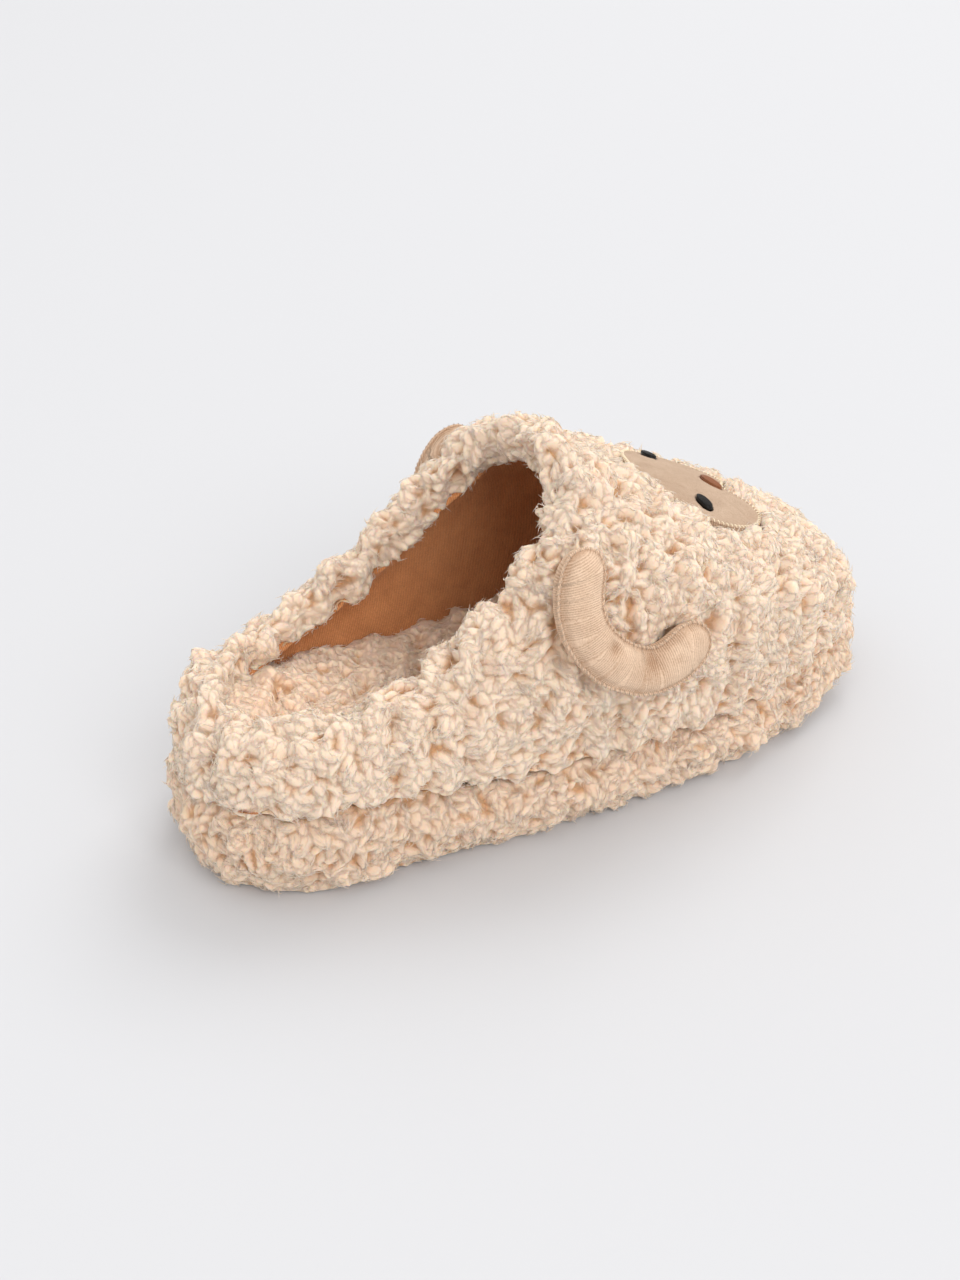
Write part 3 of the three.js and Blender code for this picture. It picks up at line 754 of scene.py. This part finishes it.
def grow_pile(name, node, covers, material, slot, sizes, seed, parts=None, scale=1.0, loft=None):
    """Dresses a CAD node in pile. covers gives for each point of the net how far it is covered, how
    far it is sunk, whether it is kept, and how much light it is given, which deepens the pile's
    colour as painted shade where it is low. parts gives the pieces that the pile is cut into, and
    loft raises the cloth first."""
    rng = np.random.default_rng(sizes.seed + seed)
    points, faces = netted(*welded(node), sizes.net)
    normals = point_normals(points, faces)
    if loft is not None:
        points = points + normals * loft(points, normals)[:, None]
        normals = point_normals(points, faces)
    cover, sunk, keep, painted_light = covers(points, normals)
    spots, facing = scattered(points, faces[:, :3], sizes.spacing * scale, rng)
    height, lean, on_lock = stamped(spots, facing, sizes, seed, points, scale)
    height = evened(height, faces)
    lock_height = sizes.lock_height * scale
    clump_height = sizes.clump_height * scale
    clumps = clump_height * lumps(points, sizes.clump_width * scale, seed + 40)
    lift = (height - BEDDING * scale + clumps) * cover - sunk
    overhang = np.clip(height / lock_height, 0, 1) ** 2 * cover * MM
    dressed = points + normals * lift[:, None] + lean * overhang[:, None]
    dressed[:, 2] = np.maximum(dressed[:, 2], ABOVE_FLOOR)
    # Painted shade: the colour deepens in the valleys between the locks and where less light is given;
    # painted light makes the raised clumps paler.
    tone = np.clip((height / scale + VALLEY_DEPTH) / (2.4 * MM), 0, 1) * (0.4 + 0.6 * painted_light)
    tone = np.clip(tone + 0.25 * clumps / clump_height, 0, 1)
    kept = faces[keep[faces].all(1)]
    parts = parts or {"": whole}
    for part, test in parts.items():
        used, renumbered = np.unique(kept[test(points[kept].mean(1))], return_inverse=True)
        cut = renumbered.reshape(-1, 4)
        values = {"painted_pile_shade": tone[used], "strand_place": on_lock[used]}
        new_piece(name + part, dressed[used], cut, material, slot, [node], values)
    crowns = np.flatnonzero(keep & (cover > 0.8) & (height > 0.45 * lock_height))
    wisps = (sizes.net / (sizes.wisp_spacing * scale)) ** 2 * np.count_nonzero(keep)
    crowns = crowns[rng.random(len(crowns)) < wisps / max(1, len(crowns))]
    at, up, ahead = dressed[crowns], normals[crowns], lean[crowns]
    grow_wisps(name, at, up, ahead, parts, material, slot, sizes, seed + 50)


def distances(points, nodes):
    """How far each point is from the named CAD nodes."""
    far = np.full(len(points), 1.0)
    for node in nodes:
        tree = face_tree(*welded(node))
        far = np.minimum(far, [tree.find_nearest(point)[3] for point in points])
    return far


# The middle line of the space for the foot: places along the slipper, and the line's height there
CAVITY_ALONG = np.array([-110, -40, 10, 60, 115]) * MM
CAVITY_UP = np.array([50, 55, 62, 52, 42]) * MM


def upper_regions():
    """The upper's points and triangles, whether each triangle faces out, and each point's way from
    the outside measured over the collar."""
    points, triangles = welded("upper")
    normals = unit(triangle_crosses(points, triangles))
    middles = points[triangles].mean(1)
    inside = np.stack(
        [
            np.clip(middles[:, 0], CAVITY_ALONG[0], CAVITY_ALONG[-1]) * 0.94,
            np.zeros(len(middles)),
            np.interp(middles[:, 0], CAVITY_ALONG, CAVITY_UP),
        ],
        1,
    )
    outer = (normals * (inside - middles)).sum(1) < 0
    above = np.unique(triangles[outer & (middles[:, 2] > inside[:, 2] - 4 * MM)])
    return points, triangles, outer, distance_over(points, triangles, above)


def carried(points, form, triangles, values):
    """The form's values at the nearest place on it to each point, and the triangle that the place
    is on."""
    tree = face_tree(form, triangles)
    found = [tree.find_nearest(point) for point in points]
    nearest = np.array([spot for spot, _, _, _ in found])
    index = np.array([i for _, _, i, _ in found])
    a, b, c = (form[triangles[index, k]] for k in range(3))
    full = np.cross(b - a, c - a)
    size = np.maximum((full * full).sum(1), 1e-18)
    toward_b = (np.cross(nearest - a, c - a) * full).sum(1) / size
    toward_c = (np.cross(b - a, nearest - a) * full).sum(1) / size
    weights = np.stack([1 - toward_b - toward_c, toward_b, toward_c], 1)
    return (values[triangles[index]] * weights).sum(1), index


# The crease where the upper's pile meets the sole band's
CREASE_WIDTH = 4 * MM
CREASE_DEPTH = 0.9 * MM
SEAM_GAP = 0.3 * MM


class SLIPPER_OT_upper(bpy.types.Operator):
    """Cover the upper in curly pile that turns over the collar"""

    bl_idname = "slipper.upper"
    bl_label = "Upper"

    def execute(self, context):
        sizes, colours = context.scene.slipper_pile, context.scene.slipper_colours
        cut = -5 * MM  # where the pile is cut into a back and a front piece
        horn_shade = 6 * MM  # how far from a horn the pile under it is darkened with painted shade
        hem_width = 3 * MM  # over how much of its length the turned pile ends
        hem_depth = 1.3 * MM  # how far it sinks there
        form, triangles, outer, reach = upper_regions()
        reach[np.unique(triangles[outer])] = 0

        def covers(points, normals):
            inward, on = carried(points, form, triangles, reach)
            seam = distances(points, ["sole_wrap", "insole"])
            turned = np.clip((sizes.fold_depth - inward) / hem_width, 0, 1)
            keep = (outer[on] | (inward < sizes.fold_depth + 2 * MM)) & (seam > SEAM_GAP)
            crease = 1 - smooth_step(seam / CREASE_WIDTH)
            cover = turned * (1 - crease)
            # Painted shade darkens the pile near the horns and in the crease at the sole band.
            painted_light = cover * smooth_step(distances(points, ["horn_outer", "horn_inner"]) / horn_shade)
            return cover, hem_depth * (1 - turned) + CREASE_DEPTH * crease, keep, painted_light

        grow_pile(
            "upper_pile",
            "upper",
            covers,
            curly_pile("curly acrylic pile", tuple(colours.pile_tip), tuple(colours.pile_root_and_shade)),
            "upper_pile",
            sizes,
            seed=1,
            parts={"_back": lambda at: at[:, 0] < cut, "_front": lambda at: at[:, 0] >= cut},
        )
        return {"FINISHED"}


class SLIPPER_OT_lining(bpy.types.Operator):
    """Line the upper with velour below the turned pile"""

    bl_idname = "slipper.lining"
    bl_label = "Lining"

    def execute(self, context):
        sizes, colours = context.scene.slipper_pile, context.scene.slipper_colours
        overlap = 9 * MM  # how far the lining goes on under the turned pile
        tuck_depth = 4  # how deep it lies there, in mm
        form, triangles, outer, reach = upper_regions()
        inner = ~outer & (reach[triangles].mean(1) > sizes.fold_depth - overlap)
        points, faces = smoothed(*kept_part(form, triangles, inner), 2)
        inward, _ = carried(points, form, triangles, reach)
        tucked = smooth_step((sizes.fold_depth - 2 * MM - inward) / (5 * MM))
        ripple = 0.3 + 0.6 * lumps(points, 34 * MM, 3)
        lift = ripple * (1 - tucked) - tuck_depth * tucked
        points = points + point_normals(points, faces) * lift[:, None] * MM
        nap = context.scene.slipper_velour
        velour = short_velour("lining velour", tuple(colours.lining), nap, sheen=0.3)
        new_piece("lining", points, faces, velour, "face_velour", values=across_x(points))
        return {"FINISHED"}


class SLIPPER_OT_sole(bpy.types.Operator):
    """Cover the platform's side in pile, and give the outsole its tread"""

    bl_idname = "slipper.sole"
    bl_label = "Sole"

    def execute(self, context):
        sizes, colours = context.scene.slipper_pile, context.scene.slipper_colours
        pile = curly_pile("sole band pile", tuple(colours.sole_tip), tuple(colours.pile_root_and_shade))

        def covers(points, normals):
            hidden = distances(points, ["insole", "outsole"]) < 0.9 * MM
            seam = distances(points, ["upper"])
            above_floor = smooth_step(points[:, 2] / (3 * MM))
            crease = 1 - smooth_step(seam / CREASE_WIDTH)
            cover = above_floor * (1 - crease)
            # Painted shade darkens the pile towards the floor and in the crease at the upper.
            return cover, CREASE_DEPTH * crease, ~hidden & (seam > SEAM_GAP), cover

        grow_pile("sole_band_pile", "sole_wrap", covers, pile, "sole_pile", sizes, seed=2)
        self.tread(colours)
        return {"FINISHED"}

    def tread(self, colours):
        """The outsole, lifted by its tread's height, and a field of nubs that reach the floor."""
        nub_height, nub_radius, pitch = 0.5 * MM, 1.1 * MM, 5.2 * MM
        border = 3 * MM  # bare rubber round the field
        upward = Vector((0, 0, 1))
        rubber = moulded_rubber("outsole rubber", tuple(colours.outsole))
        points, triangles = welded("outsole")
        normals = point_normals(points, triangles)
        tree = face_tree(points, triangles)
        lifted = points.copy()
        lifted[:, 2] += np.where(normals[:, 2] < 0, nub_height, 0)
        low, high = points.min(0), points.max(0)
        nubs = []
        # Every second row is moved by half a pitch.
        for row, x in enumerate(np.arange(low[0] + 5 * MM, high[0] - 4 * MM, pitch * 0.866)):
            for y in np.arange(low[1] + (row % 2) * pitch / 2, high[1], pitch):
                hits = [
                    tree.ray_cast(Vector((x + border * i, y + border * j, -0.05)), upward)[0]
                    for i, j in ((0, 0), (1, 0), (-1, 0), (0, 1), (0, -1))
                ]
                if all(hit is not None for hit in hits):
                    nubs.append(self.nub(x, y, hits[0].z, nub_height, nub_radius))
        new_piece("outsole_sheet", lifted, triangles, rubber, "outsole_sheet", ["outsole"])
        new_piece("outsole_tread", *joined(nubs), rubber, "outsole_sheet")

    def nub(self, x, y, z, height, radius):
        """One round nub, narrowing down to a blunt end."""
        sides = 8
        rings = [(radius, height + 0.1 * MM), (radius * 0.8, 0.12 * MM), (radius * 0.35, 0.0)]
        angles = np.arange(sides) * 2 * math.pi / sides
        points = [[x + r * math.cos(a), y + r * math.sin(a), z + up] for r, up in rings for a in angles]
        here = np.arange(sides)
        after = (here + 1) % sides
        walls = np.stack([here, sides + here, sides + after, after], 1)
        end = np.array([[0, 1, 2, 3], [0, 3, 4, 7], [4, 5, 6, 7]]) + 2 * sides
        return np.array(points), np.vstack([walls, walls + sides, end])


class SLIPPER_OT_insole(bpy.types.Operator):
    """Cover the footbed in short pile"""

    bl_idname = "slipper.insole"
    bl_label = "Insole"

    def execute(self, context):
        sizes, colours = context.scene.slipper_pile, context.scene.slipper_colours
        # Paler than the upper's pile, as painted light, because little light reaches the footbed
        tip = [c * k for c, k in zip(colours.pile_tip, (1.05, 0.99, 0.95))]
        pile = curly_pile("footbed pile", tip, tuple(colours.pile_root_and_shade))

        def covers(points, normals):
            cover = smooth_step(normals[:, 2] * 3)
            # Painted shade darkens the faces of the footbed that turn away from above.
            return cover, np.zeros(len(points)), normals[:, 2] > -0.3, cover

        def loft(points, normals):
            """The footbed's padding, which climbs the upper's wall."""
            wall = distances(points, ["upper"])
            rise = 2 * MM + 8 * MM * np.exp(-((wall / (13 * MM)) ** 2))
            return rise * smooth_step(normals[:, 2] * 2)

        grow_pile(
            "insole_pile", "insole", covers, pile, "insole_pile", sizes, seed=3, scale=0.85, loft=loft
        )
        return {"FINISHED"}


# The horns, the face and their stitching


def across_x(points):
    """Knitted rows that lie across the slipper."""
    return {"knit_rows": points * [1, 0, 0]}


# Where the tacking stitches pull a horn in: along, out and up from the slipper's middle, and how
# wide, in mm
DIMPLES = [(-8.1, 58.8, 74.2, 2.4), (4.6, 61.5, 65.9, 4.2)]

SEAM_STEP = 0.6 * MM  # distance between the points of a sewn edge
HORN_SEAM_FACING = 0.35  # how far a horn has turned outward where its seam runs, from 0 to 1
FACE_EDGE_FACING = 0.55  # how far the face has turned upward where its edge is sewn, from 0 to 1


class SLIPPER_OT_horns(bpy.types.Operator):
    """Make the stuffed velour horns, with their edge seam and tacking dimples"""

    bl_idname = "slipper.horns"
    bl_label = "Horns"

    def execute(self, context):
        sizes, colours = context.scene.slipper_velour, context.scene.slipper_colours
        velour = short_velour("horn velour", tuple(colours.velour), sizes)
        thread = rayon_thread("tan seam thread", [c * 0.75 for c in colours.velour])
        for node in ("horn_outer", "horn_inner"):
            self.horn(node, sizes, velour, thread)
        return {"FINISHED"}

    def horn(self, node, sizes, velour, thread):
        """A closed stuffed form, with a seam round its edge where its two halves meet."""
        coarse, triangles = welded(node)
        points, faces = smoothed(coarse, triangles, 3)
        line = middle_line(coarse, triangles, 14)
        _, _, axes = np.linalg.svd(coarse - coarse.mean(0), full_matrices=False)
        out = axes[2] * np.sign(axes[2][1] * coarse[:, 1].mean())
        normals = point_normals(points, faces)
        points = points + normals * (1.2 + 0.3 * lumps(points, 15 * MM, 5))[:, None] * MM
        # Painted shade in the dimples and beside the seam, which darkens the velour there
        painted_horn_shade = np.zeros(len(points))
        for x, y, z, width in DIMPLES:
            middle = np.array([x, math.copysign(y, out[1]), z]) * MM
            off = np.linalg.norm(points - middle, axis=1) / (width * MM)
            points = points - out * (sizes.dimple_depth * np.exp(-(off**2)))[:, None]
            painted_horn_shade = np.maximum(painted_horn_shade, np.exp(-(off**2)))
        along = along_line(points, line)
        seam = respaced(contour(points, faces, normals @ out - HORN_SEAM_FACING), SEAM_STEP)
        tree = point_tree(seam)
        near = np.array([tree.find(point)[2] for point in points])
        groove_and_painted_shade = np.exp(-(((near - 1.7 * MM) / (1.1 * MM)) ** 2))
        points = points - normals * (sizes.seam_depth * groove_and_painted_shade)[:, None]
        painted_horn_shade = np.maximum(painted_horn_shade, 0.5 * np.exp(-((near / (2.6 * MM)) ** 2)))
        values = {"knit_rows": np.stack([along, along * 0, along * 0], 1), "painted_velour_shade": painted_horn_shade}
        body = new_piece(node + "_velour", points, faces, velour, "horn_velour", [node], values)
        away = unit(seam - line[np.argmin(np.linalg.norm(seam[:, None] - line, axis=2), 1)])
        seam = seam + away * 0.1 * MM
        pulled = 1 - 0.3 * np.cos(np.arange(len(seam)) * 2 * math.pi / 4) ** 2
        points, faces = tube(seam, sizes.seam_radius * pulled, 8, closed=True)
        new_piece(node + "_seam", points, faces, velour, "horn_velour", values=across_x(points))
        threads = []
        slant = np.linspace(-0.4, 0.4, 7)[:, None]
        turns = np.linspace(-0.4, 2.3, 7)[:, None]
        for i in range(0, len(seam), max(1, round(sizes.stitch_spacing / SEAM_STEP))):
            over = unit(out - (out @ away[i]) * away[i])
            ahead = unit(seam[(i + 1) % len(seam)] - seam[i - 1]) * slant * MM
            round_seam = (away[i] * np.cos(turns) + over * np.sin(turns)) * sizes.seam_radius * 1.12
            threads.append(tube(seam[i] + round_seam + ahead, 0.16 * MM, 5))
        new_piece(node + "_stitches", *joined(threads), thread, "horn_velour")


class SLIPPER_OT_face(bpy.types.Operator):
    """Make the velour face with its stitched edge, eyes and nose"""

    bl_idname = "slipper.face"
    bl_label = "Face"

    def execute(self, context):
        sizes, colours = context.scene.slipper_velour, context.scene.slipper_colours
        # A deeper camel than the horns', with its nap lying flatter
        camel = [c * 0.73 for c in colours.velour]
        velour = short_velour("face velour", camel, sizes, sheen=0.25)
        points, faces = smoothed(*welded("face_panel"), 2)
        rows = across_x(points)
        new_piece("face_velour", points, faces, velour, "face_velour", ["face_panel"], rows)
        eye = rayon_thread("black eye rayon", tuple(colours.eye))
        nose = rayon_thread("brown nose rayon", tuple(colours.nose))
        cream = rayon_thread("cream edge rayon", tuple(colours.edge_thread))
        self.edge(points, faces, velour, cream, sizes)
        for node, thread, slot in (
            ("eye_outer", eye, "eye_thread"),
            ("eye_inner", eye, "eye_thread"),
            ("nose", nose, "nose_thread"),
        ):
            self.satin(node, thread, slot, sizes)
        return {"FINISHED"}

    def edge(self, points, faces, velour, cream, sizes):
        """A rolled edge, with whip stitches over it."""
        upward = point_normals(points, faces)[:, 2]
        loop = respaced(contour(points, faces, upward - FACE_EDGE_FACING), SEAM_STEP)
        roll, roll_faces = tube(loop, 0.5 * MM, 8, closed=True)
        new_piece("face_edge", roll, roll_faces, velour, "face_velour", values=across_x(roll))
        step = max(1, round(sizes.stitch_spacing / SEAM_STEP))
        middle = loop.mean(0)
        # One stitch from its outer end to its inner one
        reach = np.linspace(-0.3, 0.7, 6)[:, None]
        rise = np.array([0.1, 0.62, 0.7, 0.5, 0.2, -0.25]) * MM
        thick = np.array([0.1, 0.2, 0.24, 0.24, 0.2, 0.1]) * MM
        threads = []
        for i in range(0, len(loop), step):
            at = loop[i]
            ahead = unit(loop[(i + 1) % len(loop)] - loop[i - 1])
            inward = unit(np.cross([0, 0, 1.0], ahead))
            inward = inward * np.sign(inward @ (middle - at))
            path = at + inward * (reach * sizes.stitch_length) + ahead * (reach * 0.5 * MM)
            path[:, 2] += rise
            threads.append(tube(path, thick, 5))
        new_piece("face_stitches", *joined(threads), cream, "eye_thread")

    def satin(self, node, thread, slot, sizes):
        """Threads laid side by side over an oval."""
        points, triangles = welded(node)
        tree = face_tree(points, triangles)
        low, high = points.min(0), points.max(0)
        threads = []
        for y in np.arange(low[1] + sizes.thread_width / 3, high[1], sizes.thread_width * 0.8):
            line = []
            for x in np.linspace(low[0], high[0], 25):
                hit = tree.ray_cast(Vector((x, y, 0.3)), Vector((0, 0, -1)))[0]
                if hit is not None:
                    line.append([x, y, hit.z + 0.1 * MM])
            if len(line) > 3:
                path = np.array(line)[:: max(1, len(line) // 9)]
                bulge = np.sin(np.linspace(0.25, math.pi - 0.25, len(path)))
                threads.append(tube(path, sizes.thread_width / 2 * (0.55 + 0.45 * bulge), 6))
        new_piece(node + "_satin", *joined(threads), thread, slot)
        new_piece(node + "_pad", points, triangles, thread, slot, [node])


# The stage

# Angles in degrees, places in metres, and pixels of an image of the size below
CAMERA = {
    "azimuth": -31.71,
    "elevation": 33.47,
    "distance": 533.2 * MM,
    "focal_pixels": 1531.5,
    "target": (0.1 * MM, -0.6 * MM, 45 * MM),
    "target_pixel": (537.3, 632.6),
}
IMAGE = (960, 1280)
SENSOR_WIDTH = 36  # in mm, as Blender counts it
FLOOR_REACH = 30.0  # in metres, past all that the camera sees

# Each lamp's name, place and size in metres, and power in watts; both face the slipper
LAMPS = (
    ("window", (3.9, 2.1, 5.4), 4.2, 180),
    ("fill", (0.0, -4.4, 3.6), 3.4, 125),
)


class SLIPPER_OT_stage(bpy.types.Operator):
    """Set up the floor, the soft studio light and the camera"""

    bl_idname = "slipper.stage"
    bl_label = "Stage"

    def execute(self, context):
        self.floor(context.scene.slipper_colours)
        self.lights()
        self.camera(context.scene)
        context.scene.view_settings.view_transform = "Standard"
        return {"FINISHED"}

    def floor(self, colours):
        """Seamless studio paper: matt, so that it shows only the slipper's soft shadow."""
        paper = blank_material("seamless paper")
        shade = with_alpha(colours.floor)
        shader = add_node(
            paper, "ShaderNodeBsdfPrincipled", {"Base Color": shade, "Roughness": 0.9}
        )
        finish_material(paper, shader)
        mesh = bpy.data.meshes.new("floor")
        corners = [(-1, -1), (1, -1), (1, 1), (-1, 1)]
        spread = [(FLOOR_REACH * x, FLOOR_REACH * y, 0) for x, y in corners]
        mesh.from_pydata(spread, [], [(0, 1, 2, 3)])
        mesh.materials.append(paper)
        floor = bpy.data.objects.new("floor", mesh)
        bpy.context.scene.collection.objects.link(floor)

    def lights(self):
        """An even studio light from all round, with a soft window and a weaker fill."""
        world = bpy.data.worlds.new("studio")
        bpy.context.scene.world = world
        world.use_nodes = True
        sky = world.node_tree.nodes["Background"].inputs
        sky["Color"].default_value = (1.0, 0.985, 0.97, 1)
        sky["Strength"].default_value = 0.93
        for name, at, size, power in LAMPS:
            lamp = bpy.data.lights.new(name, "AREA")
            lamp.size = size
            lamp.energy = power
            holder = bpy.data.objects.new(name, lamp)
            holder.location = at
            holder.rotation_euler = (-Vector(at)).to_track_quat("-Z", "Y").to_euler()
            bpy.context.scene.collection.objects.link(holder)

    def camera(self, scene):
        """The camera, turned so that its target falls on the target's pixel."""
        azimuth, elevation = math.radians(CAMERA["azimuth"]), math.radians(CAMERA["elevation"])
        back = Vector(
            (
                math.sin(azimuth) * math.cos(elevation),
                -math.cos(azimuth) * math.cos(elevation),
                math.sin(elevation),
            )
        )
        right = Vector((math.cos(azimuth), math.sin(azimuth), 0))
        level = Matrix((right, back.cross(right), back)).transposed()
        off = [p - s / 2 for p, s in zip(CAMERA["target_pixel"], IMAGE)]
        toward = Vector((off[0], -off[1], -CAMERA["focal_pixels"]))
        turned = Vector((0, 0, -1)).rotation_difference(toward).to_matrix().transposed()
        lens = bpy.data.cameras.new("camera")
        lens.sensor_width = SENSOR_WIDTH
        lens.lens = SENSOR_WIDTH * CAMERA["focal_pixels"] / max(IMAGE)
        lens.clip_start, lens.clip_end = 0.02, 50
        camera = bpy.data.objects.new("camera", lens)
        camera.matrix_world = (level @ turned).to_4x4()
        camera.location = Vector(CAMERA["target"]) + back * CAMERA["distance"]
        scene.collection.objects.link(camera)
        scene.camera = camera


class SLIPPER_PT_panel(bpy.types.Panel):
    """List the slipper's sizes, colours and pieces"""

    bl_idname = "SLIPPER_PT_panel"
    bl_label = "Plush slipper"
    bl_space_type = "VIEW_3D"
    bl_region_type = "UI"
    bl_category = "Slipper"

    def draw(self, context):
        for key in GROUPS:
            group = getattr(context.scene, key)
            column = self.layout.box().column()
            for name in group.__annotations__:
                column.prop(group, name)
        for operator in OPERATORS:
            self.layout.operator(operator.bl_idname)


GROUPS = {"slipper_pile": PileSizes, "slipper_velour": VelourSizes, "slipper_colours": SlipperColours}
OPERATORS = (
    SLIPPER_OT_stage,
    SLIPPER_OT_upper,
    SLIPPER_OT_lining,
    SLIPPER_OT_sole,
    SLIPPER_OT_insole,
    SLIPPER_OT_horns,
    SLIPPER_OT_face,
)


def register():
    for name, group in GROUPS.items():
        bpy.utils.register_class(group)
        setattr(bpy.types.Scene, name, PointerProperty(type=group))
    for operator in OPERATORS:
        bpy.utils.register_class(operator)
    bpy.utils.register_class(SLIPPER_PT_panel)


def unregister():
    bpy.utils.unregister_class(SLIPPER_PT_panel)
    for operator in reversed(OPERATORS):
        bpy.utils.unregister_class(operator)
    for name, group in GROUPS.items():
        delattr(bpy.types.Scene, name)
        bpy.utils.unregister_class(group)


def main():
    """Makes the stage and every piece."""
    register()
    bpy.ops.slipper.stage()
    bpy.ops.slipper.upper()
    bpy.ops.slipper.lining()
    bpy.ops.slipper.sole()
    bpy.ops.slipper.insole()
    bpy.ops.slipper.horns()
    bpy.ops.slipper.face()
    bpy.context.view_layer.update()


if __name__ == "__main__":
    main()
